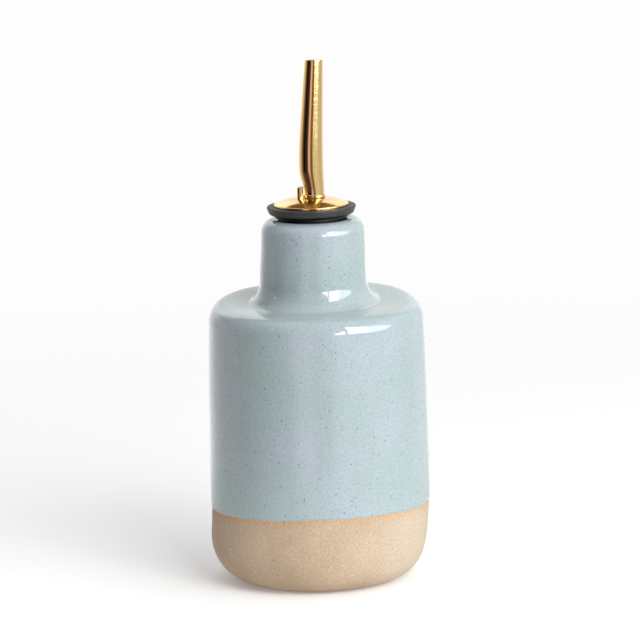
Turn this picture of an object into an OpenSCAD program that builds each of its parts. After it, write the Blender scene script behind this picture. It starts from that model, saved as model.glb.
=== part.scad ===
// Hand-thrown stoneware oil bottle with a metal pourer in a rubber stopper.
// Millimetres, +Z up. The origin is the centre of the foot, on the table.
// The front faces -Y. The upper spout leans away from the vent tube, to the right and back.

/* [Bottle body] */
// Widest outside diameter of the body
body_d = 77; // [62:0.5:92]
// Height of the widest place
belly_z = 50; // [40:1:60]
// How much the wall draws in, in radius, down to the heel curve
belly_low = 0.25; // [0:0.05:1]
// How much the wall draws in, in radius, up to the shoulder curve
belly_top = 0.75; // [0:0.05:1.5]
// Height of the flat top of the shoulder
shoulder_z = 99.5; // [82:0.5:120]
// Radius of the rounded shoulder edge
shoulder_r = 8.6; // [6:0.1:12]
// Diameter of the flat foot
foot_d = 41.4; // [34:0.2:50]
// Width of the ring that the bottle stands on
foot_ring = 5; // [3:0.5:8]
// Depth of the dish under the foot
foot_dish = 0.8; // [0.3:0.1:1.5]
// Height of the rounded heel between foot and wall
heel_h = 19; // [14:0.5:23]
// Fullness of the heel curve, where 2 is a plain ellipse
heel_power = 2.4; // [1.8:0.1:3.2]
// Thickness of the fired wall
wall_t = 4.5; // [3:0.1:6]
// Thickness of the floor
floor_t = 6; // [4:0.5:9]
// Height of the edge of the glaze
glaze_z = 26.5; // [24:0.5:60]
// Thickness of the glaze where it ends
glaze_t = 0.25; // [0.1:0.05:0.5]

/* [Bottle neck] */
// Outside diameter at the foot of the neck
neck_d = 37; // [30:0.2:46]
// How much narrower the neck is at the lip, in diameter
neck_taper = 1.2; // [0:0.1:2]
// Height of the neck above the shoulder
neck_h = 26.7; // [22:0.1:34]
// Radius of the hollow between shoulder and neck
neck_fillet = 3.9; // [2:0.1:6]
// Outer radius of the rounded lip
lip_r = 4.4; // [2:0.1:6]
// Inner radius of the rounded lip
lip_inner_r = 1.2; // [0.6:0.1:1.6]
// Diameter of the bore that takes the stopper
bore_d = 23.8; // [19.6:0.1:28.6]
// Radius where the bore opens into the body
throat_r = 3; // [1.5:0.1:4]

/* [Rubber stopper] */
// Diameter of the flange at its top edge
flange_d = 30.7; // [25:0.1:37]
// How much the edge of the flange slants in, in radius
flange_slant = 0.5; // [0.2:0.05:1.2]
// Thickness of the flange
flange_t = 2.8; // [2.2:0.1:4]
// Rounding of the lower edge of the flange
flange_low_round = 1.2; // [0.5:0.1:1.5]
// Height of the flange above the lip, because the plug isn't pushed right home
flange_lift = 1.6; // [0.8:0.1:3]
// Length of the plug below the flange
plug_l = 23; // [18:0.5:28]
// Height of the plain collar under the flange
collar_h = 3.4; // [2:0.1:5]
// How far the plain collar is smaller than the bore, in radius
collar_ease = 0.6; // [0.4:0.05:1]
// How far the bead between lip and flange stands out from the collar
bead_w = 1.2; // [0.8:0.1:1.6]
// Number of sealing ribs
rib_count = 5; // [3:1:7]
// Depth of a sealing rib
rib_depth = 1.3; // [0.8:0.1:2]
// Width of the edge of a rib
rib_edge = 0.9; // [0.5:0.1:1.4]
// How much smaller the lowest rib is than the top one, in radius
plug_taper = 0.9; // [0.3:0.1:1.6]
// Clearance of the top rib in the bore, in radius
bore_gap = 0.05; // [0.03:0.01:0.08]

/* [Metal cap and stem] */
// Diameter of the pressed cap
cap_d = 25.7; // [21:0.1:31]
// Thickness of the sheet metal
sheet_t = 0.6; // [0.4:0.05:0.8]
// Height of the turned-down edge of the cap
cap_rim = 0.6; // [0.5:0.1:1]
// Rise of the dome above its edge
cap_crown = 2.1; // [1.4:0.1:3]
// Outside diameter of the stem in the stopper
stem_d = 12; // [10:0.1:14.4]
// Wall of the stem
stem_wall = 0.5; // [0.4:0.05:0.6]
// How far the stem flares out under the stopper, in radius
flare_w = 0.9; // [0.5:0.1:1.4]
// Height of the flare
flare_h = 1.6; // [1:0.1:2.4]
// Clearance of the stem in the stopper, in radius
turn_gap = 0.05; // [0.03:0.01:0.08]
// Play of the cap on top of the flange
cap_play = 0.1; // [0.05:0.01:0.2]

/* [Spout] */
// Height of the spout above the cap
spout_h = 47.6; // [39:0.1:57]
// Height of the elbow above the cap
elbow_h = 16; // [13:0.5:19]
// Outside diameter at the foot
spout_d = 7; // [5.8:0.1:8.4]
// Outside diameter at the elbow, where the tube is widest
elbow_d = 8.6; // [7.1:0.1:10.3]
// Outside diameter at the tip
tip_d = 6.4; // [5.3:0.1:7.7]
// Slope of the cut across the tip, down to the back, in degrees
tip_cut = 6; // [3:0.5:9]
// Wall of the spout
spout_wall = 0.4; // [0.3:0.05:0.5]
// Angle that the upper part leans away from the vent tube, in degrees
lean = 4.2; // [3:0.1:6]
// Step of the elbow to the left, over the vent tube
elbow_step = 0.9; // [0:0.05:1.2]
// How far the elbow stands forward of the foot
elbow_front = 0.4; // [0:0.05:0.6]
// Height of the rounded ring at the foot
ring_h = 1.2; // [0.9:0.1:1.8]
// How far that ring stands out, in radius
ring_w = 0.4; // [0.2:0.05:0.6]
// Sides of the lofted tube
spout_sides = 36; // [24:2:44]

/* [Vent tube] */
// Outside diameter
vent_d = 2.2; // [1.8:0.1:2.7]
// Wall
vent_wall = 0.4; // [0.3:0.05:0.5]
// Height of the stub above the cap
vent_stub = 4.2; // [3.4:0.1:5.2]
// Reach below the stopper
vent_reach = 42; // [34:1:52]
// Direction of the tube from the middle of the cap, in degrees
vent_angle = 208; // [190:1:230]
// Slope of the cut across its top, in degrees
vent_cut = 14; // [5:1:20]
// Clearance between the tube and the stem, and in its hole in the cap
vent_gap = 0.2; // [0.1:0.05:0.3]
// Space between the tube and the foot of the spout
pipe_gap = 0.65; // [0.5:0.05:0.9]

/* [Hidden] */

$fn = 96;
arc_steps = 10;
hole_gap = 0.03;

body_r = body_d / 2;
foot_r = foot_d / 2;
bore_r = bore_d / 2;
neck_r = neck_d / 2;
neck_top_r = neck_r - neck_taper / 2;
bottle_h = shoulder_z + neck_h;
wall_top_z = shoulder_z - shoulder_r;
inner_top_z = shoulder_z - wall_t;
inner_shoulder_r = max(shoulder_r - wall_t / 2, 2);
lip_flat = 0.2;
lip_out_r = min(lip_r, neck_top_r - bore_r - lip_inner_r - lip_flat);

flange_low_z = bottle_h + flange_lift;
flange_top_z = flange_low_z + flange_t;
plug_low_z = flange_low_z - plug_l;
flange_round = 0.5;
rib_r = bore_r - bore_gap;
collar_r = bore_r - collar_ease;
plug_chamfer = 1.2;

stem_r = stem_d / 2;
stem_bore_r = stem_r - stem_wall;
cap_r = cap_d / 2;
cap_low_z = flange_top_z + cap_play;
cap_top_z = cap_low_z + cap_rim + cap_crown;
cap_under_z = cap_top_z - sheet_t;
cap_edge_round = 0.3;
dome_power = 1.6;

vent_r = vent_d / 2;
vent_place_r = stem_bore_r - vent_gap - vent_r;
vent_x = vent_place_r * cos(vent_angle);
vent_y = vent_place_r * sin(vent_angle);
vent_top_z = cap_top_z + vent_stub;
vent_low_z = plug_low_z - vent_reach;

// The foot of the spout lies on the X axis, pipe_gap away from the vent tube.
// Both stand on the flat seat in the middle of the cap.
spout_r = spout_d / 2;
pipe_pitch = spout_r + vent_r + pipe_gap;
spout_x = vent_x + sqrt(max(pipe_pitch * pipe_pitch - vent_y * vent_y, 0));
cap_seat_r = max(spout_x + spout_r + ring_w, vent_place_r + vent_r) + 0.1;
elbow_z = cap_top_z + elbow_h;
tip_z = cap_top_z + spout_h;
aim = vent_angle - 180;

// Points of an arc about c, from angle a to angle b, without its first point
function arc(c, r, a, b, n = arc_steps) =
    [for (i = [1:n]) c + r * [cos(a + (b - a) * i / n), sin(a + (b - a) * i / n)]];

// Quarter of a full-bodied ellipse from [r0, z0], level, up to [r1, z1], upright
function heel(r0, z0, r1, z1, power, n = 14) =
    [for (i = [1:n]) [
        r0 + (r1 - r0) * pow(sin(90 * i / n), 2 / power),
        z0 + (z1 - z0) * (1 - pow(cos(90 * i / n), 2 / power))]];

// Outside radius of the wall, a smooth curve through heel, belly and shoulder
function wall_r(z) =
    body_r - (z < belly_z
        ? belly_low * pow((belly_z - z) / (belly_z - heel_h), 2)
        : belly_top * pow((z - belly_z) / (wall_top_z - belly_z), 2));

// Points along the wall from height a to height b, set in by d, without the first
function wall(a, b, d, n = 8) =
    [for (i = [1:n]) [wall_r(a + (b - a) * i / n) - d, a + (b - a) * i / n]];

// Smooth step from 0 at a to 1 at b
function ease(z, a, b) =
    let (t = min(max((z - a) / (b - a), 0), 1)) t * t * (3 - 2 * t);

// Bend: 0 well below z0 and z - z0 well above it, rounded over about w
function bend(z, z0, w) = (z - z0 + sqrt((z - z0) * (z - z0) + w * w)) / 2;

// One thrown and fired piece: foot, heel, wall, shoulder, neck and lip
module bottle() {
    dish_r = foot_r - foot_ring;
    outer_dish = [for (i = [0:5]) [dish_r * i / 5, foot_dish * (1 - pow(i / 5, 2))]];
    clay = concat([[foot_r, 0]],
        heel(foot_r, 0, wall_r(heel_h) - glaze_t, heel_h, heel_power),
        wall(heel_h, glaze_z, glaze_t, 2));
    glaze_edge = [for (i = [1:4]) [
        wall_r(glaze_z) - glaze_t * cos(90 * i / 4),
        glaze_z + 2 * glaze_t * sin(90 * i / 4)]];
    glazed_wall = wall(glaze_z + 2 * glaze_t, wall_top_z, 0, 10);
    shoulder = arc([wall_r(wall_top_z) - shoulder_r, wall_top_z], shoulder_r, 0, 90);
    neck = concat([[neck_r + neck_fillet, shoulder_z]],
        arc([neck_r + neck_fillet, shoulder_z + neck_fillet], neck_fillet, 270, 180),
        [[neck_top_r, bottle_h - lip_out_r]],
        arc([neck_top_r - lip_out_r, bottle_h - lip_out_r], lip_out_r, 0, 90));
    inner_lip = concat([[bore_r + lip_inner_r, bottle_h]],
        arc([bore_r + lip_inner_r, bottle_h - lip_inner_r], lip_inner_r, 90, 180, 6));
    throat = concat([[bore_r, inner_top_z + throat_r]],
        arc([bore_r + throat_r, inner_top_z + throat_r], throat_r, 180, 270, 6));
    inner_shoulder_x = wall_r(inner_top_z - inner_shoulder_r) - wall_t - inner_shoulder_r;
    inner_shoulder = concat([[inner_shoulder_x, inner_top_z]],
        arc([inner_shoulder_x, inner_top_z - inner_shoulder_r], inner_shoulder_r, 90, 0));
    inner_wall = wall(inner_top_z - inner_shoulder_r, heel_h, wall_t);
    inner_heel_up = heel(foot_r - wall_t / 2, floor_t, wall_r(heel_h) - wall_t, heel_h, heel_power);
    inner_heel = [for (i = [len(inner_heel_up) - 2:-1:0]) inner_heel_up[i]];
    floor_in = [[foot_r - wall_t / 2, floor_t], [0, floor_t]];
    color("#a7b9bd") rotate_extrude()
        polygon(concat(outer_dish, clay, glaze_edge, glazed_wall, shoulder, neck,
            inner_lip, throat, inner_shoulder, inner_wall, inner_heel, floor_in));
}

// Outline of one sealing rib with its edge at radius r, from lower root to upper root
function rib(z, r) = [
    [r - rib_depth, z],
    [r, z + rib_edge],
    [r, z + 2 * rib_edge],
    [r - rib_depth, z + 2.6 * rib_edge]];

// One rubber moulding: flange, plain collar and ribbed plug, bored for the stem
module stopper() {
    stopper_bore_r = stem_r + turn_gap;
    low_r = rib_r - plug_taper - rib_depth;
    ribs_low_z = plug_low_z + plug_chamfer;
    rib_pitch = (flange_low_z - collar_h - ribs_low_z) / rib_count;
    ribs = [for (i = [0:rib_count - 1])
        each rib(ribs_low_z + rib_pitch * i, rib_r - plug_taper * (1 - i / (rib_count - 1)))];
    flange_r = flange_d / 2;
    low_flange_r = flange_r - flange_slant;
    flange = concat(
        [[collar_r, flange_low_z - collar_h], [collar_r, bottle_h]],
        [[collar_r + bead_w, bottle_h + 0.3 * flange_lift]],
        [[collar_r + bead_w, bottle_h + 0.7 * flange_lift]],
        [[collar_r + bead_w / 2, flange_low_z]],
        [[low_flange_r - flange_low_round, flange_low_z]],
        arc([low_flange_r - flange_low_round, flange_low_z + flange_low_round],
            flange_low_round, 270, 350, 6),
        [[flange_r, flange_top_z - flange_round]],
        arc([flange_r - flange_round, flange_top_z - flange_round], flange_round, 0, 90, 5));
    color("#3b3b40") rotate_extrude()
        polygon(concat([[stopper_bore_r, plug_low_z], [low_r - plug_chamfer, plug_low_z]],
            ribs, flange, [[stopper_bore_r, flange_top_z]]));
}

// Height of the cap's upper face at radius r: level on the seat, then falling to the edge
function cap_z(r) =
    cap_top_z - cap_crown * pow(max(r - cap_seat_r, 0) / (cap_r - cap_seat_r), dome_power);

// Pressed sheet: a low dome with a turned-down edge and two holes in its level seat
module cap() {
    steps = 8;
    edge_in_r = cap_r - sheet_t;
    top = [for (i = [0:steps])
        let (r = cap_seat_r + (cap_r - cap_edge_round - cap_seat_r) * i / steps) [r, cap_z(r)]];
    edge = arc([cap_r - cap_edge_round, cap_z(cap_r - cap_edge_round) - cap_edge_round],
        cap_edge_round, 90, 0, 4);
    under = [for (i = [steps:-1:0])
        let (r = cap_seat_r + (edge_in_r - cap_seat_r) * i / steps) [r, cap_z(r) - sheet_t]];
    color("#c8963c") difference() {
        rotate_extrude()
            polygon(concat([[0, cap_under_z], [0, cap_top_z]], top, edge,
                [[cap_r, cap_low_z], [edge_in_r, cap_low_z]], under));
        translate([spout_x, 0, cap_under_z - 1])
            cylinder(r = spout_r + hole_gap, h = sheet_t + 2);
        translate([vent_x, vent_y, cap_under_z - 1])
            cylinder(r = vent_r + hole_gap, h = sheet_t + 2);
    }
}

// Tube under the cap, through the stopper, flared out below it
module stem() {
    flare_z = plug_low_z - cap_play;
    flare_r = stem_r + flare_w;
    top_z = cap_z(stem_r) - sheet_t - hole_gap;
    color("#b98c3a") rotate_extrude()
        polygon([
            [stem_bore_r, top_z],
            [stem_bore_r, flare_z - stem_wall / 2],
            [flare_r - stem_wall, flare_z - flare_h],
            [flare_r, flare_z - flare_h],
            [stem_r, flare_z],
            [stem_r, top_z]]);
}

// Level sections of the spout: its centre and its radius at each height.
// Below the elbow it swells, most to the left and least in front.
// Above the elbow it leans away from the vent tube and narrows to the tip.
bend_w = 5;
swell_z = cap_top_z + 0.65 * elbow_h;
function above_elbow(z) = bend(z, elbow_z, bend_w) - bend(cap_top_z, elbow_z, bend_w);
function swell(z) = ease(z, cap_top_z + ring_h, swell_z);
function spout_centre(z) = [spout_x, 0]
    + tan(lean) * above_elbow(z) * [cos(aim), sin(aim)]
    + swell(z) * [-elbow_step, elbow_d / 2 - spout_r - elbow_front];
function spout_radius(z) =
    spout_r + (elbow_d / 2 - spout_r) * swell(z)
        - (elbow_d - tip_d) / 2 * above_elbow(z) / above_elbow(tip_z);
function ring_bulge(z) =
    let (t = (z - cap_top_z) / ring_h) t > 0 && t < 1 ? ring_w * sqrt(sin(180 * t)) : 0;
function tip_drop(z) = tip_d / 2 * tan(tip_cut) * ease(z, tip_z - tip_d, tip_z);
function spout_ring(z, grow) =
    [for (k = [0:spout_sides - 1])
        let (a = 360 * k / spout_sides, c = spout_centre(z), r = spout_radius(z) + grow)
            [c.x + r * cos(a), c.y + r * sin(a), z - tip_drop(z) * (1 + sin(a))]];

// Tapered tube: up the outside ring by ring, over the tip and down the inside
module spout() {
    foot_steps = 8;
    lower_steps = 9;
    upper_steps = 12;
    heights = concat(
        [cap_under_z],
        [for (i = [0:foot_steps]) cap_top_z + ring_h * i / foot_steps],
        [for (i = [1:lower_steps])
            cap_top_z + ring_h + (elbow_h - ring_h) * i / lower_steps],
        [for (i = [1:upper_steps]) elbow_z + (tip_z - elbow_z) * i / upper_steps]);
    count = len(heights);
    rings = concat(
        [for (i = [0:count - 1]) spout_ring(heights[i], ring_bulge(heights[i]))],
        [for (i = [count - 1:-1:0]) spout_ring(heights[i], -spout_wall)]);
    points = [for (ring = rings) each ring];
    faces = [for (i = [0:2 * count - 1], k = [0:spout_sides - 1])
        let (a = i * spout_sides, b = (i + 1) % (2 * count) * spout_sides, m = (k + 1) % spout_sides)
            each [[a + k, b + k, b + m], [a + k, b + m, a + m]]];
    color("#c8963c") polyhedron(points, faces);
}

// Thin straight tube from the stub on the cap down into the bottle
module vent_tube() {
    color("#c8963c") translate([vent_x, vent_y, 0]) difference() {
        translate([0, 0, vent_low_z]) cylinder(r = vent_r, h = vent_top_z - vent_low_z);
        translate([0, 0, vent_low_z - 1])
            cylinder(r = vent_r - vent_wall, h = vent_top_z - vent_low_z + 2);
        translate([vent_r, 0, vent_top_z]) rotate([0, -vent_cut, 0])
            translate([-2 * vent_d, -vent_d, 0]) cube([4 * vent_d, 2 * vent_d, vent_d]);
    }
}

bottle();
stopper();
cap();
stem();
spout();
vent_tube();
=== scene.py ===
"""Oil dispenser: thrown stoneware bottle, ribbed rubber stopper and gold-coloured pourer.

Sizes are millimetres until a mesh is made, except where a name ends in _M for metres.
+Z is up and the front faces -Y.
"""
import math

import bpy
import numpy as np
from mathutils import Matrix


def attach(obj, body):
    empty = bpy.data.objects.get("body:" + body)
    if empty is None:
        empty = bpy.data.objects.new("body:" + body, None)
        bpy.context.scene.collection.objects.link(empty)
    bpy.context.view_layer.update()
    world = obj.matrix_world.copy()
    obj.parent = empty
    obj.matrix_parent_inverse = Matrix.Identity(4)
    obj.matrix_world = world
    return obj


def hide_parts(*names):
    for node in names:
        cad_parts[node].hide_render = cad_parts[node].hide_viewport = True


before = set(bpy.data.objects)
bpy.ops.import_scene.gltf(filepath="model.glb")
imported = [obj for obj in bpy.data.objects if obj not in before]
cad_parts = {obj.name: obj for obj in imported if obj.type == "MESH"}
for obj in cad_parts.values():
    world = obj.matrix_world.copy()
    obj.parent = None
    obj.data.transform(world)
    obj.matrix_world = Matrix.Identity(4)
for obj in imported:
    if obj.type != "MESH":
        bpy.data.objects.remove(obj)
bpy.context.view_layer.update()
MM = 0.001

# Bottle. The wall is widest at BELLY_Z and draws in by BELLY_LOW and BELLY_TOP at its ends.
BODY_R = 38.1
BELLY_Z = 50.0
BELLY_LOW = 0.25
BELLY_TOP = 0.75
MID_WALL_Z = 60
SHOULDER_Z = 99.5
SHOULDER_R = 8.6
WALL_TOP_Z = SHOULDER_Z - SHOULDER_R
WALL_T = 4.5
FLOOR_T = 6.0
FOOT_R = 20.7
FOOT_RING = 5.0
FOOT_DISH = 0.8
FOOT_EDGE = 0.4
HEEL_H = 19.0
HEEL_POWER = 2.4
NECK_R = 18.5
NECK_TOP_R = 17.9
NECK_FLARE_R = 4.6
NECK_FLARE_H = 6.2
NECK_FLARE_POWER = 1.65
BOTTLE_H = 126.2
LIP_R = 4.4
LIP_INNER_R = 1.2
BORE_R = 11.9
THROAT_R = 3.0

# Glaze. Each wave of its edge has a height, a number of waves round and a phase.
GLAZE_Z = 26.5
GLAZE_T = 0.25
GLAZE_BEAD = 0.06
GLAZE_RISE_FRONT = 1.28
GLAZE_RISE_RIGHT = 0.4
GLAZE_WAVES = [(0.14, 4, 1.1), (0.09, 9, 2.3), (0.05, 19, 0.6)]
WAVY_FROM_Z = 8
WAVY_TO_Z = 48

# What the potter's hands leave in the bottle. A pair is where a fade begins and ends.
RING_PROUD = 0.014
RING_PITCH = 6.3
FINE_RING_PITCH = 2.9
COARSE_SHARE = 0.7
RINGS_START_Z = (2, 12)
RINGS_END_Z = (118, 124)
TUCK = 0.04
OVAL = 0.05
OVAL_TURN = 0.6
WANDER_Z = [0, 12, 28, 60, 92, 106, 118, 128]
WANDER_X = [-0.3, -0.75, 0.15, 0.35, 0.5, -0.2, 0.2, 0.4]
WANDER_Y = [0.2, 0.45, 0.1, 0.0, 0.1, 0.2, 0.2, 0.05]
SHOULDER_SAG = 2.2
SAG_Y = (-12, 22)
SAG_ROUND = 0.36
SAG_ROUND_FRONT = 6.0
SAG_NECK_H = 15

# Pourer
FLANGE_LOW_Z = 127.8
# Below these heights the rubber is painted nearly black: painted shade on the plug in the gap
# between the flange and the lip
PLUG_SHADE_Z = (FLANGE_LOW_Z + 0.3, FLANGE_LOW_Z + 0.9)
CAP_R = 12.85
CAP_LOW_Z = 130.7
CAP_RIM = 0.6
CAP_CROWN = 2.1
CAP_TOP_Z = CAP_LOW_Z + CAP_RIM + CAP_CROWN
DOME_POWER = 1.6
SHEET_T = 0.6
EDGE_ROUND = 0.3
FLAT_R = 2.5
HOLE_GAP = 0.03
PIPE_R = 1.1
PIPE_WALL = 0.4
PIPE_EDGE = 0.1
PIPE_OUT = 4.2
PIPE_ANGLE = math.radians(208)
PIPE_AT = PIPE_OUT * np.array([math.cos(PIPE_ANGLE), math.sin(PIPE_ANGLE)])
PIPE_STUB = 4.2
PIPE_TOP_Z = CAP_TOP_Z + PIPE_STUB
PIPE_LOW_Z = 62.8
PIPE_CUT = math.tan(math.radians(14))
PIPE_GAP = 0.65
SPOUT_R = 3.5
SPOUT_WALL = 0.4
SPOUT_X = PIPE_AT[0] + math.sqrt((SPOUT_R + PIPE_R + PIPE_GAP) ** 2 - PIPE_AT[1] ** 2)
RING_H = 1.2
RING_W = 0.4
SEAT_EDGE = 0.1
CAP_SEAT_R = max(SPOUT_X + SPOUT_R + RING_W, PIPE_OUT + PIPE_R) + SEAT_EDGE
ELBOW_H = 16.0
ELBOW_Z = CAP_TOP_Z + ELBOW_H
ELBOW_R = 4.3
ELBOW_STEP = 0.9
ELBOW_FRONT = 0.4
BEND_W = 5.0
SWELL_SHARE = 0.65
SWELL_Z = CAP_TOP_Z + SWELL_SHARE * ELBOW_H
SPOUT_H = 47.6
TIP_Z = CAP_TOP_Z + SPOUT_H
TIP_R = 3.2
TIP_CUT = math.tan(math.radians(6))
LEAN = math.tan(math.radians(4.2))
AIM = PIPE_ANGLE - math.pi

# Soft light, as radiance: from all round, with more from overhead, the right and behind
AMBIENT = 0.19
OVERHEAD = 0.74
SIDE = 0.2
REAR = 0.22
LEAST = 0.02

# Window, skylight and lamp. Azimuth 0 is the front and 90 is the right, in degrees.
WINDOW = 4.7
WINDOW_RIGHT = 0.6 * WINDOW
WINDOW_IN_MIRRORS = 2.1
WINDOW_AZ = 58
WINDOW_AWAY = 1500
SEEN_FROM_Z = 95
SKYLIGHT_WATTS = 7.8
SKYLIGHT_AZ = 25
SKYLIGHT_EL = 33
SKYLIGHT_AWAY_M = 1.4
SKYLIGHT_SIZE_M = 0.6
LAMP_WATTS = 0.15
LAMP_AZ = -90
LAMP_EL = 17
LAMP_AWAY_M = 1.1
LAMP_R_M = 0.018

# White floor: the shares of light it gives back, its own radiance, and where it fades
BOUNCE = 0.75
SEEN_WHITE = 0.92
LIFT = 0.17
SHEET_WHITE = 0.982
FLOOR_FADE_M = (0.2, 0.6)
MIRROR_FADE_M = (0.1, 0.29)
BOARD_R = 300.0
SHEET_R = 4000.0
FLOOR_DROP = 0.02

# Camera
SENSOR_W = 36.0
FOCAL_LENGTH = 298.28
PITCH = math.radians(10.14)
ROLL = math.radians(-1.75)
CAMERA_AT = (1.8, -1800, 412.4)


# Shapes

def surface(name, points, closed_rows=False, poles=(False, False)):
    """A mesh over a grid of points in mm, rows by columns.

    Columns always close into a ring. Rows close too where closed_rows is set.
    At a pole the first or last row is one point, and triangles meet there.
    Also gives the row of each face, and which of the grid's points each vertex is.
    """
    rows, cols = points.shape[:2]
    index = np.arange(rows * cols).reshape(rows, cols)
    if poles[0]:
        index[0] = index[0, 0]
    if poles[1]:
        index[-1] = index[-1, 0]
    used, index = np.unique(index, return_inverse=True)
    index = index.reshape(rows, cols)
    low, high = (index, np.roll(index, -1, 0)) if closed_rows else (index[:-1], index[1:])
    strips = list(np.stack([low, np.roll(low, -1, 1), np.roll(high, -1, 1), high], -1))
    if poles[0]:
        strips[0] = strips[0][:, [0, 2, 3]]
    if poles[1]:
        strips[-1] = strips[-1][:, [0, 1, 2]]
    faces = [face for strip in strips for face in strip.tolist()]
    mesh = bpy.data.meshes.new(name)
    mesh.from_pydata((points.reshape(-1, 3)[used] * MM).tolist(), [], faces)
    mesh.shade_smooth()
    made = bpy.data.objects.new(name, mesh)
    bpy.context.scene.collection.objects.link(made)
    return made, np.repeat(np.arange(len(strips)), cols), used


def turn(count):
    """Angles once round, from the front and counter-clockwise as seen from above."""
    return np.linspace(0, 2 * math.pi, count, endpoint=False) - math.pi / 2


def line(start, end, count):
    """Evenly spaced points from start to end, without its first point."""
    t = np.arange(1, count + 1)[:, None] / count
    return np.array(start) * (1 - t) + np.array(end) * t


def arc(centre, radius, start, end, count):
    """Points of an arc in the r, z plane, angles in degrees, without its first point."""
    a = np.radians(start + (end - start) * np.arange(1, count + 1) / count)
    return np.c_[centre[0] + radius * np.cos(a), centre[1] + radius * np.sin(a)]


def flare(start, end, power, count):
    """Quarter of a superellipse from level at start to upright at end, without its first
    point: r goes with a sine and z with a cosine, each to the power of 2 / power."""
    a = np.linspace(0, math.pi / 2, count + 1)[1:]
    return np.c_[start[0] + (end[0] - start[0]) * np.sin(a) ** (2 / power),
                 start[1] + (end[1] - start[1]) * (1 - np.cos(a) ** (2 / power))]


def ease(z, a, b):
    """Smooth step from 0 at a to 1 at b, which is 3 t squared less 2 t cubed."""
    t = np.clip((z - a) / (b - a), 0, 1)
    return t * t * (3 - 2 * t)


def through(z, knots, values):
    """Values at the knots, joined by smooth steps."""
    i = np.clip(np.searchsorted(knots, z) - 1, 0, len(knots) - 2)
    knots, values = np.array(knots, float), np.array(values, float)
    share = ease(z, knots[i], knots[i + 1])
    return values[i] * (1 - share) + values[i + 1] * share


def wall_r(z):
    """Radius of the wall: the belly's radius less a parabola on each side of it."""
    below = BELLY_LOW * ((BELLY_Z - z) / (BELLY_Z - HEEL_H)) ** 2
    above = BELLY_TOP * ((z - BELLY_Z) / (WALL_TOP_Z - BELLY_Z)) ** 2
    return BODY_R - np.where(z < BELLY_Z, below, above)


def bottle_profile():
    """The bottle's outline in r, z, and how many of its first points are bare clay.

    It runs from the middle underneath over the foot, the heel, the wall, the shoulder, the
    neck and the lip, and down inside to the middle of the floor.
    """
    dish = np.linspace(0, FOOT_R - FOOT_RING, 9)
    bare_z = np.linspace(HEEL_H, GLAZE_Z, 16)[1:]
    clay = [
        np.c_[dish, FOOT_DISH * (1 - (dish / dish[-1]) ** 2)],
        line((dish[-1], 0), (FOOT_R - FOOT_EDGE, 0), 4),
        arc((FOOT_R - FOOT_EDGE, FOOT_EDGE), FOOT_EDGE, 270, 300, 3),
        flare((FOOT_R, 0), (wall_r(HEEL_H) - GLAZE_T, HEEL_H), HEEL_POWER, 40)[1:],
        np.c_[wall_r(bare_z) - GLAZE_T, bare_z]]
    a = np.linspace(0, math.pi / 2, 7)[1:]
    wall_z = np.linspace(GLAZE_Z + 2 * GLAZE_T, WALL_TOP_Z, 90)[1:]
    flat_r = wall_r(WALL_TOP_Z) - SHOULDER_R
    neck_foot_r = NECK_R + NECK_FLARE_R
    neck_low_z = SHOULDER_Z + NECK_FLARE_H
    lip_z = BOTTLE_H - LIP_R
    outside = [
        np.c_[wall_r(GLAZE_Z) - GLAZE_T * np.cos(a) + GLAZE_BEAD * np.sin(2 * a),
              GLAZE_Z + 2 * GLAZE_T * np.sin(a)],
        np.c_[wall_r(wall_z), wall_z],
        arc((flat_r, WALL_TOP_Z), SHOULDER_R, 0, 90, 30),
        line((flat_r, SHOULDER_Z), (neck_foot_r, SHOULDER_Z), 12),
        flare((neck_foot_r, SHOULDER_Z), (NECK_R, neck_low_z), NECK_FLARE_POWER, 27),
        line((NECK_R, neck_low_z), (NECK_TOP_R, lip_z), 20),
        arc((NECK_TOP_R - LIP_R, lip_z), LIP_R, 0, 90, 24)]
    mouth_r = BORE_R + LIP_INNER_R
    mouth_z = BOTTLE_H - LIP_INNER_R
    throat_r = BORE_R + THROAT_R
    inner_top = SHOULDER_Z - WALL_T
    inner_round = SHOULDER_R - WALL_T / 2
    round_z = inner_top - inner_round
    round_r = wall_r(round_z) - WALL_T - inner_round
    inner_z = np.linspace(round_z, HEEL_H, 24)[1:]
    floor_r = FOOT_R - WALL_T / 2
    inside = [
        line((NECK_TOP_R - LIP_R, BOTTLE_H), (mouth_r, BOTTLE_H), 2),
        arc((mouth_r, mouth_z), LIP_INNER_R, 90, 180, 10),
        line((BORE_R, mouth_z), (BORE_R, inner_top + THROAT_R), 20),
        arc((throat_r, inner_top + THROAT_R), THROAT_R, 180, 270, 8),
        line((throat_r, inner_top), (round_r, inner_top), 6),
        arc((round_r, round_z), inner_round, 90, 0, 12),
        np.c_[wall_r(inner_z) - WALL_T, inner_z],
        flare((floor_r, FLOOR_T), (wall_r(HEEL_H) - WALL_T, HEEL_H), HEEL_POWER, 20)[-2::-1],
        np.c_[np.linspace(floor_r, 0, 8), np.full(8, FLOOR_T)]]
    return np.vstack(clay + outside + inside), sum(len(part) for part in clay)


def glaze_line(a):
    """How far the glaze's edge runs above GLAZE_Z at angle a: higher in front and to the
    right by a cosine and a sine, with three sine waves on it."""
    front = a + math.pi / 2
    waves = sum(rise * np.sin(count * front + phase) for rise, count, phase in GLAZE_WAVES)
    return GLAZE_RISE_FRONT * np.cos(front) + GLAZE_RISE_RIGHT * np.sin(front) + waves


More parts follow.
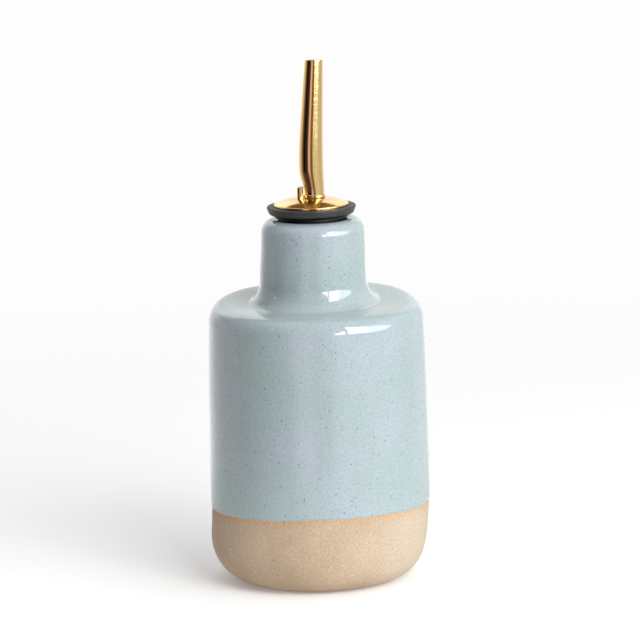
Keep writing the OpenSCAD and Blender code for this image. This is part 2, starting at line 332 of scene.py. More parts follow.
def thrown(outline, a):
    """The outline carried round, with what a potter's hands leave in it.

    Rows near the glaze's edge follow its wavy line. The rings of throwing are sine waves in
    height whose phase turns with the angle, so they climb like a thread, and the section is
    a little oval, and all of it is drawn in by TUCK. The shoulder sags towards the front and
    takes the foot of the neck with it: a point drops by its height above the sagged level,
    rounded where that begins, and less and less up the neck. The centre wanders with height,
    by less than 1 mm.
    """
    r, z = outline[:, :1], outline[:, 1:]
    outside = (np.arange(len(outline)) <= np.argmax(outline[:, 1]))[:, None]
    wavy = ease(z, WAVY_FROM_Z, GLAZE_Z - 1) * (1 - ease(z, GLAZE_Z + 2, WAVY_TO_Z)) * outside
    z_at = z + wavy * glaze_line(a)
    on_wall = outside & (z > HEEL_H) & (z < MID_WALL_Z)
    r_at = np.where(on_wall, r + wall_r(z_at) - wall_r(z), r)
    coarse = np.sin(2 * math.pi * z / RING_PITCH - a)
    fine = np.sin(2 * math.pi * z / FINE_RING_PITCH - a + 1)
    rings = coarse * COARSE_SHARE + fine * (1 - COARSE_SHARE)
    handwork = RING_PROUD * rings - TUCK - OVAL * np.cos(2 * (a - OVAL_TURN))
    r_at = r_at + ease(z, *RINGS_START_Z) * (1 - ease(z, *RINGS_END_Z)) * outside * handwork
    front = 1 - ease(r_at * np.sin(a), *SAG_Y)
    over = np.minimum(z, SHOULDER_Z) - SHOULDER_Z + SHOULDER_SAG * front
    rounded = (over + np.sqrt(over ** 2 + SAG_ROUND + SAG_ROUND_FRONT * front)) / 2
    sag = rounded * (1 - ease(z, SHOULDER_Z, SHOULDER_Z + SAG_NECK_H))
    z_at = z_at - np.where(outside & (z > MID_WALL_Z), sag, 0.0)
    return np.stack([r_at * np.cos(a) + through(z, WANDER_Z, WANDER_X),
                     r_at * np.sin(a) + through(z, WANDER_Z, WANDER_Y), z_at], -1)


def past_elbow(z):
    """Height above the elbow, and 0 below it, rounded by a hyperbola over BEND_W."""
    over = z - ELBOW_Z
    return (over + np.sqrt(over ** 2 + BEND_W ** 2)) / 2


def spout_profile(z):
    """Centre x, centre y and radius of the spout at height z.

    It swells up to the elbow by a smooth step, most to the left and least in front, then
    leans away from the vent pipe and narrows in step with the height past the elbow.
    """
    swell = ease(z, CAP_TOP_Z + RING_H, SWELL_Z)
    rise = past_elbow(z) - past_elbow(CAP_TOP_Z)
    full_rise = past_elbow(TIP_Z) - past_elbow(CAP_TOP_Z)
    radius = SPOUT_R + (ELBOW_R - SPOUT_R) * swell - (ELBOW_R - TIP_R) * rise / full_rise
    return (SPOUT_X + LEAN * rise * math.cos(AIM) - ELBOW_STEP * swell,
            LEAN * rise * math.sin(AIM) + (ELBOW_R - SPOUT_R - ELBOW_FRONT) * swell, radius)


def spout_points(a):
    """Level rings up the outside, over a round rim and down the inside.

    The ring at the foot bulges by the root of a half sine wave. Near the tip the rings tilt
    down to the back, by the slope of the cut at the tip.
    """
    ring_z = CAP_TOP_Z + RING_H * (1 - np.cos(np.linspace(0, math.pi, 25))) / 2
    bulge = RING_W * np.sqrt(np.clip(np.sin(math.pi * (ring_z - CAP_TOP_Z) / RING_H), 0, 1))
    rim_low_z = TIP_Z - SPOUT_WALL / 2
    up_z = np.linspace(CAP_TOP_Z + RING_H, rim_low_z, 120)[1:]
    rim = np.radians(np.linspace(0, 180, 13))[1:]
    rim_z = TIP_Z - SPOUT_WALL / 2 * (1 - np.sin(rim))
    down_z = np.linspace(rim_low_z, CAP_TOP_Z - SHEET_T, 60)[1:]
    z = np.concatenate([[CAP_TOP_Z - SHEET_T], ring_z, up_z, rim_z, down_z])
    grow = np.concatenate([[0], bulge, 0 * up_z, SPOUT_WALL / 2 * (np.cos(rim) - 1),
                           np.full(len(down_z), -SPOUT_WALL)])
    x, y, r = spout_profile(z)
    r = (r + grow)[:, None]
    drop = TIP_R * TIP_CUT * ease(z, TIP_Z - 2 * TIP_R, TIP_Z)
    return np.stack([x[:, None] + r * np.cos(a), y[:, None] + r * np.sin(a),
                     z[:, None] - drop[:, None] * (1 + np.sin(a))], -1)


def pipe_points(a):
    """A straight tube whose top is cut at a slope, lower on the side away from the spout.

    The rows between its ends only divide the straight wall.
    """
    top = PIPE_TOP_Z - PIPE_CUT * PIPE_R
    edge_z = top - PIPE_EDGE
    inner_r = PIPE_R - PIPE_WALL
    outside = [(PIPE_R, z) for z in (PIPE_LOW_Z, 90, 115, 132, top - 2.5, edge_z)]
    rim = [(PIPE_R - PIPE_EDGE, top), (inner_r + PIPE_EDGE, top)]
    inside = [(inner_r, z) for z in (edge_z, 132, 90, PIPE_LOW_Z)]
    outline = np.array(outside + rim + inside)
    r, z = outline[:, :1], outline[:, 1:]
    x, y = r * np.cos(a), r * np.sin(a)
    slope = (z > top - 2 * PIPE_EDGE) * PIPE_CUT * x
    return np.stack([PIPE_AT[0] + x, PIPE_AT[1] + y, z + slope], -1)


def dome_z(r):
    """Height of the cap's top: level on its seat, then falling by a power of r."""
    out = np.clip(r - CAP_SEAT_R, 0, None) / (CAP_R - CAP_SEAT_R)
    return CAP_TOP_Z - CAP_CROWN * out ** DOME_POWER


def cap_points(a):
    """The cap's outline carried round: underside, turned-down edge and low dome.

    The rows at FLAT_R only divide the level middle.
    """
    edge_r = CAP_R - EDGE_ROUND
    edge_z = dome_z(edge_r) - EDGE_ROUND
    inner_r = CAP_R - SHEET_T
    under = np.concatenate([[0, FLAT_R], np.linspace(CAP_SEAT_R, inner_r, 20)])
    over = np.concatenate([[0, FLAT_R], np.linspace(CAP_SEAT_R, edge_r, 40)])[::-1]
    outline = np.vstack([
        np.c_[under, dome_z(under) - SHEET_T],
        line((inner_r, dome_z(inner_r) - SHEET_T), (inner_r, CAP_LOW_Z), 3),
        line((inner_r, CAP_LOW_Z), (CAP_R, CAP_LOW_Z), 3),
        line((CAP_R, CAP_LOW_Z), (CAP_R, edge_z), 3),
        arc((edge_r, edge_z), EDGE_ROUND, 0, 90, 8)[:-1],
        np.c_[over, dome_z(over)]])
    r, z = outline[:, :1], outline[:, 1:]
    return np.stack([r * np.cos(a), r * np.sin(a), z + 0 * a], -1)


def round_hole(cap, centre, radius):
    """Cuts a round upright hole through the top of the cap, HOLE_GAP wider than radius."""
    a = turn(64)
    wide = radius + HOLE_GAP
    low, high = CAP_TOP_Z - SHEET_T - 1, CAP_TOP_Z + 1
    r = np.array([0, wide, wide, 0])[:, None]
    z = np.array([low, low, high, high])[:, None]
    points = np.stack([centre[0] + r * np.cos(a), centre[1] + r * np.sin(a), z + 0 * a], -1)
    cutter = surface("cutter", points, poles=(True, True))[0]
    cut = cap.modifiers.new("hole", "BOOLEAN")
    cut.object = cutter
    cut.solver = "EXACT"
    bpy.context.view_layer.update()
    depsgraph = bpy.context.evaluated_depsgraph_get()
    cap.data = bpy.data.meshes.new_from_object(cap.evaluated_get(depsgraph))
    cap.modifiers.clear()
    bpy.data.objects.remove(cutter)


# Materials. Nearly all values of a noise texture lie between NOISE_LOW and NOISE_HIGH.

NOISE_LOW = 0.3
NOISE_HIGH = 0.7


def colour(code):
    """An sRGB hex value as linear red, green, blue and alpha."""
    part = np.array([int(code[i:i + 2], 16) for i in (0, 2, 4)]) / 255
    linear = np.where(part <= 0.04045, part / 12.92, ((part + 0.055) / 1.055) ** 2.4)
    return (*linear.tolist(), 1.0)


def grey(value):
    """A grey of this linear value."""
    return (value, value, value, 1.0)


def cells(size_mm):
    """The texture scale that gives a pattern this size, because coordinates are metres."""
    return 1000 / size_mm


def add(tree, kind, settings, inputs=()):
    """Adds a node. Inputs are values or other nodes' outputs, by name or number.

    In Map Range 1 and 2 are the range from, and 3 and 4 the range to. In Mix and Mix Shader
    0 is the share, and Mix has its two colours in 6 and 7.
    """
    made = tree.nodes.new("ShaderNode" + kind)
    for name, value in settings.items():
        if name == "stops":
            ramp = made.color_ramp
            while len(ramp.elements) < len(value):
                ramp.elements.new(0.5)
            for element, (at, shade) in zip(ramp.elements, value):
                element.position, element.color = at, shade
        else:
            setattr(made, name, value)
    for key, value in dict(inputs).items():
        if isinstance(value, bpy.types.NodeSocket):
            tree.links.new(value, made.inputs[key])
        else:
            made.inputs[key].default_value = value
    return made


def material(name, **principled):
    """A new material with a Principled shader set as given, its tree and that shader."""
    made = bpy.data.materials.new(name)
    made.use_nodes = True
    tree = made.node_tree
    shader = tree.nodes["Principled BSDF"]
    for key, value in principled.items():
        shader.inputs[key.replace("_", " ")].default_value = value
    return made, tree, shader


def specks(tree, place, size_mm, radius_mm, keep, offset):
    """1 inside round specks of up to radius_mm, in a share of cells of size_mm, else 0."""
    moved = add(tree, "VectorMath", {"operation": "ADD"}, {0: place, 1: (offset, offset, offset)})
    dots = add(tree, "TexVoronoi", {}, {"Vector": moved.outputs[0], "Scale": cells(size_mm)})
    chance = add(tree, "SeparateColor", {}, {0: dots.outputs["Color"]})
    size = add(tree, "MapRange", {},
               {0: chance.outputs[0], 1: 1 - keep, 2: 1.0, 3: 0.0, 4: radius_mm / size_mm})
    edge = add(tree, "Math", {"operation": "SUBTRACT"},
               {0: size.outputs[0], 1: dots.outputs["Distance"]})
    soft = add(tree, "MapRange", {"interpolation_type": "SMOOTHSTEP"},
               {0: edge.outputs[0], 1: 0.0, 2: 0.35 * radius_mm / size_mm})
    return soft.outputs[0]


def stoneware_glaze():
    """Feldspathic stoneware glaze, dipped and fired glossy.

    The eye gets a pale blue-grey that drifts to lilac and to green in soft clouds of 10 to
    30 mm, iron specks under 1 mm, and sharp reflections with a very slight waviness.
    """
    made, tree, shader = material("stoneware_glaze", Roughness=0.03, IOR=1.6)
    place = add(tree, "TexCoord", {}).outputs["Object"]
    clouds = add(tree, "TexNoise", {},
                 {"Vector": place, "Scale": cells(26), "Detail": 3.0, "Roughness": 0.55})
    green, blue, lilac = colour("A4B5B5"), colour("A8B7BA"), colour("ACB8C1")
    drift = add(tree, "ValToRGB", {"stops": [(0.35, green), (0.5, blue), (0.66, lilac)]},
                {0: clouds.outputs[0]})
    grain = add(tree, "TexNoise", {},
                {"Vector": place, "Scale": cells(0.9), "Detail": 4.0, "Roughness": 0.75})
    grains = add(tree, "MapRange", {},
                 {0: grain.outputs[0], 1: NOISE_LOW, 2: NOISE_HIGH, 3: 0.86, 4: 1.1})
    shaded = add(tree, "VectorMath", {"operation": "SCALE"},
                 {0: drift.outputs[0], "Scale": grains.outputs[0]})
    iron = specks(tree, place, size_mm=1.35, radius_mm=0.38, keep=0.6, offset=0.0)
    pepper = specks(tree, place, size_mm=0.66, radius_mm=0.25, keep=0.7, offset=0.4)
    fine = add(tree, "Math", {"operation": "MULTIPLY"}, {0: pepper, 1: 0.5})
    either = add(tree, "Math", {"operation": "MAXIMUM"}, {0: iron, 1: fine.outputs[0]})
    strength = add(tree, "Math", {"operation": "MULTIPLY"}, {0: either.outputs[0], 1: 0.6})
    dotted = add(tree, "Mix", {"data_type": "RGBA"},
                 {0: strength.outputs[0], 6: shaded.outputs[0], 7: colour("5E6264")})
    tree.links.new(dotted.outputs[2], shader.inputs["Base Color"])
    ripple = add(tree, "TexNoise", {}, {"Vector": place, "Scale": cells(7), "Detail": 2.0})
    bump = add(tree, "Bump", {},
               {"Strength": 1.0, "Distance": 0.06 * MM, "Height": ripple.outputs[0]})
    tree.links.new(bump.outputs[0], shader.inputs["Normal"])
    return made


def bare_clay():
    """Buff stoneware clay, thrown, sponged and fired without glaze.

    The eye gets a dry sandy tan, painted paler to the right where the light falls, with grog:
    fine pale grains, a few dark iron grains, and an orange flash about 2 mm wide where the clay
    meets the glaze.
    """
    made, tree, shader = material("bare_stoneware_clay", Roughness=0.8, IOR=1.5)
    place = add(tree, "TexCoord", {}).outputs["Object"]
    clouds = add(tree, "TexNoise", {}, {"Vector": place, "Scale": cells(18), "Detail": 4.0})
    shades = [(NOISE_LOW, colour("B8A086")), (NOISE_HIGH, colour("C7B097"))]
    base = add(tree, "ValToRGB", {"stops": shades}, {0: clouds.outputs[0]})
    # Painted light: the clay is mixed towards a paler tan to the right, where the light falls
    side = add(tree, "SeparateXYZ", {}, {0: place})
    painted_light_right = add(tree, "MapRange", {"interpolation_type": "SMOOTHSTEP"},
                {0: side.outputs[0], 1: 5 * MM, 2: 36 * MM, 3: 0.0, 4: 0.5})
    body = add(tree, "Mix", {"data_type": "RGBA"},
               {0: painted_light_right.outputs[0], 6: base.outputs[0], 7: colour("D0C3B0")})
    below = add(tree, "Attribute", {"attribute_name": "below_glaze"})
    flash = add(tree, "MapRange", {"interpolation_type": "SMOOTHSTEP"},
                {0: below.outputs["Fac"], 1: 0.4, 2: 3.2, 3: 0.4, 4: 0.0})
    halo = add(tree, "Mix", {"data_type": "RGBA"},
               {0: flash.outputs[0], 6: body.outputs[2], 7: colour("C9975F")})
    grain = add(tree, "TexNoise", {},
                {"Vector": place, "Scale": cells(0.7), "Detail": 5.0, "Roughness": 0.75})
    grains = add(tree, "MapRange", {},
                 {0: grain.outputs[0], 1: NOISE_LOW, 2: NOISE_HIGH, 3: 0.8, 4: 1.2})
    sandy = add(tree, "VectorMath", {"operation": "SCALE"},
                {0: halo.outputs[2], "Scale": grains.outputs[0]})
    grog = specks(tree, place, size_mm=1.2, radius_mm=0.36, keep=0.7, offset=0.3)
    pale = add(tree, "Math", {"operation": "MULTIPLY"}, {0: grog, 1: 0.6})
    pale_on = add(tree, "Mix", {"data_type": "RGBA"},
                  {0: pale.outputs[0], 6: sandy.outputs[0], 7: colour("E6D8C3")})
    iron = specks(tree, place, size_mm=3.6, radius_mm=0.55, keep=0.5, offset=0.7)
    dark = add(tree, "Math", {"operation": "MULTIPLY"}, {0: iron, 1: 0.7})
    dark_on = add(tree, "Mix", {"data_type": "RGBA"},
                  {0: dark.outputs[0], 6: pale_on.outputs[2], 7: colour("6B4F38")})
    tree.links.new(dark_on.outputs[2], shader.inputs["Base Color"])
    bump = add(tree, "Bump", {},
               {"Strength": 0.5, "Distance": 0.2 * MM, "Height": grain.outputs[0]})
    tree.links.new(bump.outputs[0], shader.inputs["Normal"])
    return made


def moulded_rubber():
    """Dark grey natural rubber, compression moulded.

    The eye gets a matt dark grey, dulled in patches by dust, with painted shade that makes the
    plug under the flange nearly black, as it lies in the dark gap over the lip, and a fine
    spark-eroded grain of the mould, drawn 0.5 mm coarse so that it shows.
    """
    made, tree, shader = material("moulded_rubber", Roughness=0.5, IOR=1.52,
                                  Specular_IOR_Level=0.35)
    place = add(tree, "TexCoord", {}).outputs["Object"]
    dust = add(tree, "TexNoise", {},
               {"Vector": place, "Scale": cells(4), "Detail": 5.0, "Roughness": 0.65})
    shades = [(NOISE_LOW, colour("303032")), (NOISE_HIGH, colour("3E3E40"))]
    base = add(tree, "ValToRGB", {"stops": shades}, {0: dust.outputs[0]})
    up = add(tree, "SeparateXYZ", {}, {0: place})
    # Painted shade: the plug below the flange goes nearly black, as it lies in shadow in the gap
    # over the lip
    plug_shade_share = add(tree, "MapRange", {},
               {0: up.outputs[2], 1: PLUG_SHADE_Z[1] * MM, 2: PLUG_SHADE_Z[0] * MM})
    shaded_plug = add(tree, "Mix", {"data_type": "RGBA"},
                {0: plug_shade_share.outputs[0], 6: base.outputs[0], 7: colour("050505")})
    tree.links.new(shaded_plug.outputs[2], shader.inputs["Base Color"])
    worn = add(tree, "MapRange", {},
               {0: dust.outputs[0], 1: NOISE_LOW, 2: NOISE_HIGH, 3: 0.44, 4: 0.58})
    tree.links.new(worn.outputs[0], shader.inputs["Roughness"])
    grain = add(tree, "TexNoise", {}, {"Vector": place, "Scale": cells(0.5), "Detail": 3.0})
    bump = add(tree, "Bump", {},
               {"Strength": 0.4, "Distance": 0.05 * MM, "Height": grain.outputs[0]})
    tree.links.new(bump.outputs[0], shader.inputs["Normal"])
    return made


def gold_plate(name, code, smooth, rough):
    """Gold-coloured plating on polished metal, whose roughness runs from smooth to rough.

    The eye gets sharp mirror bands, softened by fine lines round the piece from the polishing
    wheel. They are a noise drawn out along x and y, and 0.45 mm coarse so that they show.
    """
    made, tree, shader = material(name, Metallic=1.0, Base_Color=colour(code))
    place = add(tree, "TexCoord", {}).outputs["Object"]
    drawn_out = add(tree, "Mapping", {}, {"Vector": place, "Scale": (0.12, 0.12, 1.0)})
    lines = add(tree, "TexNoise", {},
                {"Vector": drawn_out.outputs[0], "Scale": cells(0.45), "Detail": 3.0})
    soft = add(tree, "MapRange", {},
               {0: lines.outputs[0], 1: NOISE_LOW, 2: NOISE_HIGH, 3: smooth, 4: rough})
    tree.links.new(soft.outputs[0], shader.inputs["Roughness"])
    bump = add(tree, "Bump", {},
               {"Strength": 0.25, "Distance": 0.01 * MM, "Height": lines.outputs[0]})
    tree.links.new(bump.outputs[0], shader.inputs["Normal"])
    return made


def white_board():
    """White card, matt, as a photographer lays under an object.

    The eye gets white with the object's shadow, which fades to plain paper white further
    out. The object gets less light back from it than the camera, and mirrors see it only
    near the object.
    """
    made, tree, shader = material("white_board", Roughness=1.0, Specular_IOR_Level=0.0)
    path = add(tree, "LightPath", {})
    seen = add(tree, "MapRange", {}, {0: path.outputs["Is Camera Ray"], 3: BOUNCE, 4: SEEN_WHITE})
    tint = add(tree, "CombineColor", {},
               {0: seen.outputs[0], 1: seen.outputs[0], 2: seen.outputs[0]})
    tree.links.new(tint.outputs[0], shader.inputs["Base Color"])
    lift = add(tree, "Emission", {}, {"Color": grey(1.0), "Strength": LIFT})
    near = add(tree, "AddShader", {}, {0: shader.outputs[0], 1: lift.outputs[0]})
    place = add(tree, "TexCoord", {}).outputs["Object"]
    reach = add(tree, "VectorMath", {"operation": "LENGTH"}, {0: place})
    far = add(tree, "MapRange", {"interpolation_type": "SMOOTHSTEP"},
              {0: reach.outputs["Value"], 1: FLOOR_FADE_M[0], 2: FLOOR_FADE_M[1]})
    paper = add(tree, "Emission", {}, {"Color": grey(SHEET_WHITE), "Strength": 1.0})
    fade = add(tree, "MixShader", {}, {0: far.outputs[0], 1: near.outputs[0], 2: paper.outputs[0]})
    clear = add(tree, "BsdfTransparent", {}, {"Color": grey(1.0)})
    edge = add(tree, "MapRange", {"interpolation_type": "SMOOTHSTEP"},
               {0: reach.outputs["Value"], 1: MIRROR_FADE_M[0], 2: MIRROR_FADE_M[1]})
    lost = add(tree, "Math", {"operation": "MULTIPLY"},
               {0: edge.outputs[0], 1: path.outputs["Is Glossy Ray"]})
    shown = add(tree, "MixShader", {}, {0: lost.outputs[0], 1: fade.outputs[0], 2: clear.outputs[0]})
    tree.links.new(shown.outputs[0], tree.nodes["Material Output"].inputs["Surface"])
    return made


glaze = stoneware_glaze()
clay = bare_clay()
rubber = moulded_rubber()
gold = gold_plate("polished_gold_plate", "E4C687", smooth=0.06, rough=0.14)
stem_gold = gold_plate("plain_gold_plate", "D9B474", smooth=0.2, rough=0.32)
white = white_board()


# Pieces

def make_bottle():
    """The thrown bottle, glazed but for its foot.

    below_glaze is how far each point lies under the glaze's edge, in mm.
    """
    outline, clay_rows = bottle_profile()
    around = turn(192)
    grid = thrown(outline, around)
    bottle, face_rows, used = surface("thrown_bottle", grid, poles=(True, True))
    bottle.data.materials.append(glaze)
    bottle.data.materials.append(clay)
    is_clay = face_rows + 1 < clay_rows
    bottle.data.polygons.foreach_set("material_index", is_clay.astype(np.int32))
    below_glaze = GLAZE_Z + glaze_line(around) - grid[:, :, 2]
    depth = bottle.data.attributes.new("below_glaze", "FLOAT", "POINT")
    depth.data.foreach_set("value", below_glaze.reshape(-1)[used].astype(np.float32))
    bottle.data.set_sharp_from_angle(angle=math.radians(50))
    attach(bottle, "bottle")
    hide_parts("bottle")


def make_pourer():
    """The metal of the pourer that shows: the cap, the spout and the vent pipe."""
    cap = surface("domed_cap", cap_points(turn(160)), poles=(True, True))[0]
    round_hole(cap, (SPOUT_X, 0), SPOUT_R)
    round_hole(cap, PIPE_AT, PIPE_R)
    cap.data.materials.clear()
    spout = surface("pouring_spout", spout_points(turn(96)), closed_rows=True)[0]
    pipe = surface("vent_pipe", pipe_points(turn(48)), closed_rows=True)[0]
    for piece, node in ((cap, "cap"), (spout, "spout"), (pipe, "vent_tube")):
        piece.data.materials.append(gold)
        piece.data.set_sharp_from_angle(angle=math.radians(40))
        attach(piece, "pourer")
        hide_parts(node)


def finish_solids():
    """The stopper and the stem are the solids themselves, with their own materials."""
    for node, finish in (("stopper", rubber), ("stem", stem_gold)):
        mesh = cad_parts[node].data
        mesh.materials.clear()
        mesh.materials.append(finish)


def ground(name, inner, outer):
    """A flat ring just under the object, or a disc where inner is 0."""
    around = turn(128)
    radii = np.linspace(outer, inner, 4)[:, None]
    points = np.stack([radii * np.cos(around), radii * np.sin(around),
                       0 * radii * around - FLOOR_DROP], -1)
    made = surface(name, points, poles=(False, inner == 0))[0]
    made.data.materials.append(white)
    return made


make_bottle()
make_pourer()
finish_solids()
ground("table_board", 0.0, BOARD_R)
sheet = ground("paper_sheet", BOARD_R, SHEET_R)
sheet.visible_glossy = False
sheet.visible_diffuse = False


# Studio. The room that the glaze and the gold mirror is four bands of colours by azimuth: below
# eye level, at eye level, the walls above it, and the ceiling. At eye level each row ends with
# the elevation at which the wall above begins.

PAPER = (0.97, 0.97, 0.97)
GLOW = (1.5, 1.5, 1.5)
BACK = (1.1, 1.09, 1.07)
CEILING = (0.22, 0.11, 0.04)
ZENITH = (0.8, 0.78, 0.74)
LOW = [(-180, GLOW), (-166, GLOW), (-154, PAPER), (-120, (0.9, 0.88, 0.88)),
       (-96, (0.45, 0.36, 0.35)), (-76, (0.1, 0.07, 0.07)), (-26, (0.07, 0.05, 0.05)),
       (-20, (0.55, 0.42, 0.42)), (-8, (0.5, 0.37, 0.36)), (0, (0.24, 0.15, 0.11)),
       (12, (0.3, 0.2, 0.15)), (19, (0.8, 0.78, 0.8)), (110, (0.8, 0.76, 0.8)),
       (130, PAPER), (156, PAPER), (168, GLOW), (180, GLOW)]
EYE_LEVEL = [(-180, BACK, 25), (-174, BACK, 22), (-168, GLOW, 17), (-148, GLOW, 17),
             (-132, (1.1, 1.08, 1.1), 18), (-116, (0.9, 0.86, 0.88), 17),
             (-100, (0.75, 0.62, 0.64), 16), (-86, (0.2, 0.14, 0.15), 20),
             (-66, (0.0, 0.0, 0.0), 27), (-30, (0.07, 0.05, 0.06), 27),
             (-22, (0.9, 0.7, 0.78), 27), (-9, (0.9, 0.7, 0.75), 27),
             (-4, (0.27, 0.13, 0.08), 27), (14, (0.27, 0.14, 0.09), 27),
             (19, (0.8, 0.8, 0.84), 27), (60, (0.86, 0.84, 0.86), 27),
             (78, (0.74, 0.72, 0.76), 27), (112, (0.7, 0.68, 0.74), 27),
             (128, (1.1, 1.0, 1.14), 27), (134, PAPER, 27), (152, PAPER, 25),
             (160, (1.3, 1.3, 1.3), 25), (170, (1.3, 1.3, 1.3), 25), (176, BACK, 25),
             (180, BACK, 25)]
MIDDLE = [(-180, BACK), (-175, BACK), (-169, GLOW), (-149, GLOW), (-142, (0.7, 0.7, 0.72)),
          (-120, (0.45, 0.43, 0.43)), (-60, (0.2, 0.16, 0.15)), (-30, (0.16, 0.11, 0.09)),
          (0, (0.2, 0.13, 0.1)), (20, (0.32, 0.24, 0.2)), (40, (0.7, 0.75, 0.8)),
          (120, (0.8, 0.82, 0.86)), (150, PAPER), (160, (1.4, 1.4, 1.4)),
          (170, (1.4, 1.4, 1.4)), (176, BACK), (180, BACK)]
HIGH = [(-180, CEILING), (-140, CEILING), (-125, (0.5, 0.48, 0.46)), (-30, (0.45, 0.4, 0.36)),
        (0, (0.32, 0.24, 0.2)), (40, (0.6, 0.58, 0.58)), (120, (0.45, 0.42, 0.4)),
        (160, (0.4, 0.3, 0.2)), (172, CEILING), (180, CEILING)]

# The elevations between which each of these takes over from what is below it, and the same
# for the wall above as heights past its own edge
EYE_LEVEL_FROM = (-17, -12)
CEILING_FROM = (36, 40)
ZENITH_FROM = (56, 66)
WALL_EDGE = (-0.01, 0.02)


def height(degrees):
    """Height of a direction of length 1 at this many degrees above the horizon."""
    return math.sin(math.radians(degrees))


def stops(rows):
    """Stops of a ramp round the horizon. A row's elevation goes into alpha, as a height."""
    return [((azimuth + 180) / 360, (*shade, height(*top) if top else 1.0))
            for azimuth, shade, *top in rows]


def studio():
    """A world whose soft light, mirrored room and backdrop are set apart by kind of ray.

    The soft light is AMBIENT, plus OVERHEAD times the square of the height, SIDE times the
    way to the right and REAR times the way to the back, and never less than LEAST.
    """
    world = bpy.data.worlds.new("studio")
    bpy.context.scene.world = world
    world.use_nodes = True
    tree = world.node_tree
    tree.nodes.clear()
    direction = add(tree, "TexCoord", {})
    axes = add(tree, "SeparateXYZ", {}, {0: direction.outputs["Generated"]})
    x, y, z = axes.outputs
    forward = add(tree, "Math", {"operation": "MULTIPLY"}, {0: y, 1: -1.0})
    angle = add(tree, "Math", {"operation": "ARCTAN2"}, {0: x, 1: forward.outputs[0]})
    ring = add(tree, "MapRange", {}, {0: angle.outputs[0], 1: -math.pi, 2: math.pi})
    low, eye, middle, high = [add(tree, "ValToRGB", {"stops": stops(rows)}, {0: ring.outputs[0]})
                              for rows in (LOW, EYE_LEVEL, MIDDLE, HIGH)]
    above = add(tree, "Math", {"operation": "SUBTRACT"}, {0: z, 1: eye.outputs["Alpha"]})
    to_wall = add(tree, "MapRange", {}, {0: above.outputs[0], 1: WALL_EDGE[0], 2: WALL_EDGE[1]})
    to_eye, to_ceiling, to_zenith = [
        add(tree, "MapRange", {}, {0: z, 1: height(first), 2: height(last)})
        for first, last in (EYE_LEVEL_FROM, CEILING_FROM, ZENITH_FROM)]
    lower = add(tree, "Mix", {"data_type": "RGBA"},
                {0: to_eye.outputs[0], 6: low.outputs[0], 7: eye.outputs[0]})
    walls = add(tree, "Mix", {"data_type": "RGBA"},
                {0: to_wall.outputs[0], 6: lower.outputs[2], 7: middle.outputs[0]})
    roof = add(tree, "Mix", {"data_type": "RGBA"},
               {0: to_zenith.outputs[0], 6: high.outputs[0], 7: (*ZENITH, 1.0)})
    room = add(tree, "Mix", {"data_type": "RGBA"},
               {0: to_ceiling.outputs[0], 6: walls.outputs[2], 7: roof.outputs[2]})
    up = add(tree, "Math", {"operation": "MAXIMUM"}, {0: z, 1: 0.0})
    steep = add(tree, "Math", {"operation": "MULTIPLY"}, {0: up.outputs[0], 1: up.outputs[0]})
    overhead = add(tree, "MapRange", {"clamp": False},
                   {0: steep.outputs[0], 3: AMBIENT, 4: AMBIENT + OVERHEAD})
    sideways = add(tree, "MapRange", {"clamp": False}, {0: x, 3: 0.0, 4: SIDE})
    behind = add(tree, "MapRange", {}, {0: y, 3: 0.0, 4: REAR})
    around = add(tree, "Math", {"operation": "ADD"}, {0: sideways.outputs[0], 1: behind.outputs[0]})
    lit = add(tree, "Math", {"operation": "ADD"}, {0: overhead.outputs[0], 1: around.outputs[0]})
    light = add(tree, "Math", {"operation": "MAXIMUM"}, {0: lit.outputs[0], 1: LEAST})
    path = add(tree, "LightPath", {})
    mirror = add(tree, "Math", {"operation": "MAXIMUM"},
                 {0: path.outputs["Is Glossy Ray"], 1: path.outputs["Is Transmission Ray"]})
    soft = add(tree, "Background", {}, {0: grey(1.0), 1: light.outputs[0]})
    reflected = add(tree, "Background", {}, {0: room.outputs[2], 1: 1.0})
    backdrop = add(tree, "Background", {}, {0: grey(SHEET_WHITE), 1: 1.0})
    unseen = add(tree, "MixShader", {},
                 {0: mirror.outputs[0], 1: soft.outputs[0], 2: reflected.outputs[0]})
    shown = add(tree, "MixShader", {},
                {0: path.outputs["Is Camera Ray"], 1: unseen.outputs[0], 2: backdrop.outputs[0]})
    add(tree, "OutputWorld", {}, {0: shown.outputs[0]})


def pane(name, corners, radiance):
    """One pane of the window, which stands WINDOW_AWAY off and square to WINDOW_AZ.

    Its corners are directions from the bottle's shoulder, azimuth and elevation in degrees.
    Mirrors see it WINDOW_IN_MIRRORS times as bright as it lights.
    """
    az, el = np.radians(np.array(corners, float)).T
    away = WINDOW_AWAY / np.cos(az - math.radians(WINDOW_AZ))
    points = np.c_[away * np.sin(az), -away * np.cos(az), SEEN_FROM_Z + away * np.tan(el)] * MM
    mesh = bpy.data.meshes.new(name)
    mesh.from_pydata(points.tolist(), [], [list(range(len(points)))])
    made = bpy.data.objects.new(name, mesh)
    bpy.context.scene.collection.objects.link(made)
    daylight, tree, shader = material(name + "_light", Base_Color=grey(0.0), Specular_IOR_Level=0.0,
                                      Emission_Color=(0.97, 1.0, 1.0, 1.0))
    path = add(tree, "LightPath", {})
    seen = add(tree, "MapRange", {},
               {0: path.outputs["Is Glossy Ray"], 3: radiance, 4: radiance * WINDOW_IN_MIRRORS})
    tree.links.new(seen.outputs[0], shader.inputs["Emission Strength"])
    mesh.materials.append(daylight)
    made.visible_camera = False


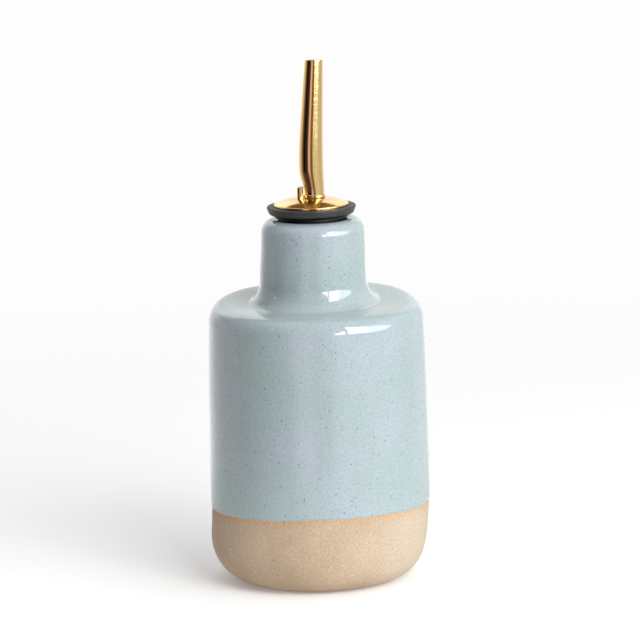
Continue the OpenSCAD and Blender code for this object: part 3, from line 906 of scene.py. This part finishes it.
def skylight():
    """A square light that faces the foot of the bottle, and that mirrors don't see."""
    az, el = math.radians(SKYLIGHT_AZ), math.radians(SKYLIGHT_EL)
    light = bpy.data.lights.new("skylight", "AREA")
    light.energy, light.size = SKYLIGHT_WATTS, SKYLIGHT_SIZE_M
    made = bpy.data.objects.new("skylight", light)
    made.location = (SKYLIGHT_AWAY_M * math.sin(az) * math.cos(el),
                     -SKYLIGHT_AWAY_M * math.cos(az) * math.cos(el),
                     SKYLIGHT_AWAY_M * math.sin(el))
    made.rotation_euler = (math.pi / 2 - el, 0, az)
    made.visible_glossy = False
    made.visible_camera = False
    bpy.context.scene.collection.objects.link(made)


def far_lamp():
    """A small lamp a way off, which puts a spark on the glaze and the gold."""
    az, el = math.radians(LAMP_AZ), math.radians(LAMP_EL)
    light = bpy.data.lights.new("far_lamp", "POINT")
    light.energy, light.shadow_soft_size = LAMP_WATTS, LAMP_R_M
    made = bpy.data.objects.new("far_lamp", light)
    made.location = (LAMP_AWAY_M * math.sin(az), -LAMP_AWAY_M * math.cos(az),
                     SEEN_FROM_Z * MM + LAMP_AWAY_M * math.tan(el))
    made.visible_camera = False
    bpy.context.scene.collection.objects.link(made)


def camera():
    """The camera at the photograph's angle: level, then pitched down and rolled."""
    lens = bpy.data.cameras.new("camera")
    lens.sensor_width = SENSOR_W
    lens.lens = FOCAL_LENGTH
    lens.clip_start, lens.clip_end = 0.1, 20.0
    made = bpy.data.objects.new("camera", lens)
    bpy.context.scene.collection.objects.link(made)
    sine, cosine = math.sin(PITCH), math.cos(PITCH)
    facing = Matrix(((1, 0, 0), (0, sine, -cosine), (0, cosine, sine)))
    placed = (facing @ Matrix.Rotation(ROLL, 3, "Z")).to_4x4()
    placed.translation = [part * MM for part in CAMERA_AT]
    made.matrix_world = placed
    bpy.context.scene.camera = made


studio()
pane("window_left", [(33, 2), (58, -0.5), (58, 35), (34, 42)], WINDOW)
pane("window_right", [(58, -0.5), (78, 2), (89, 12), (58, 35)], WINDOW_RIGHT)
pane("window_side", [(18, 2.5), (30, 2), (30, 24), (26, 20), (18, 10)], WINDOW)
skylight()
far_lamp()
camera()
bpy.context.scene.view_settings.view_transform = "Standard"
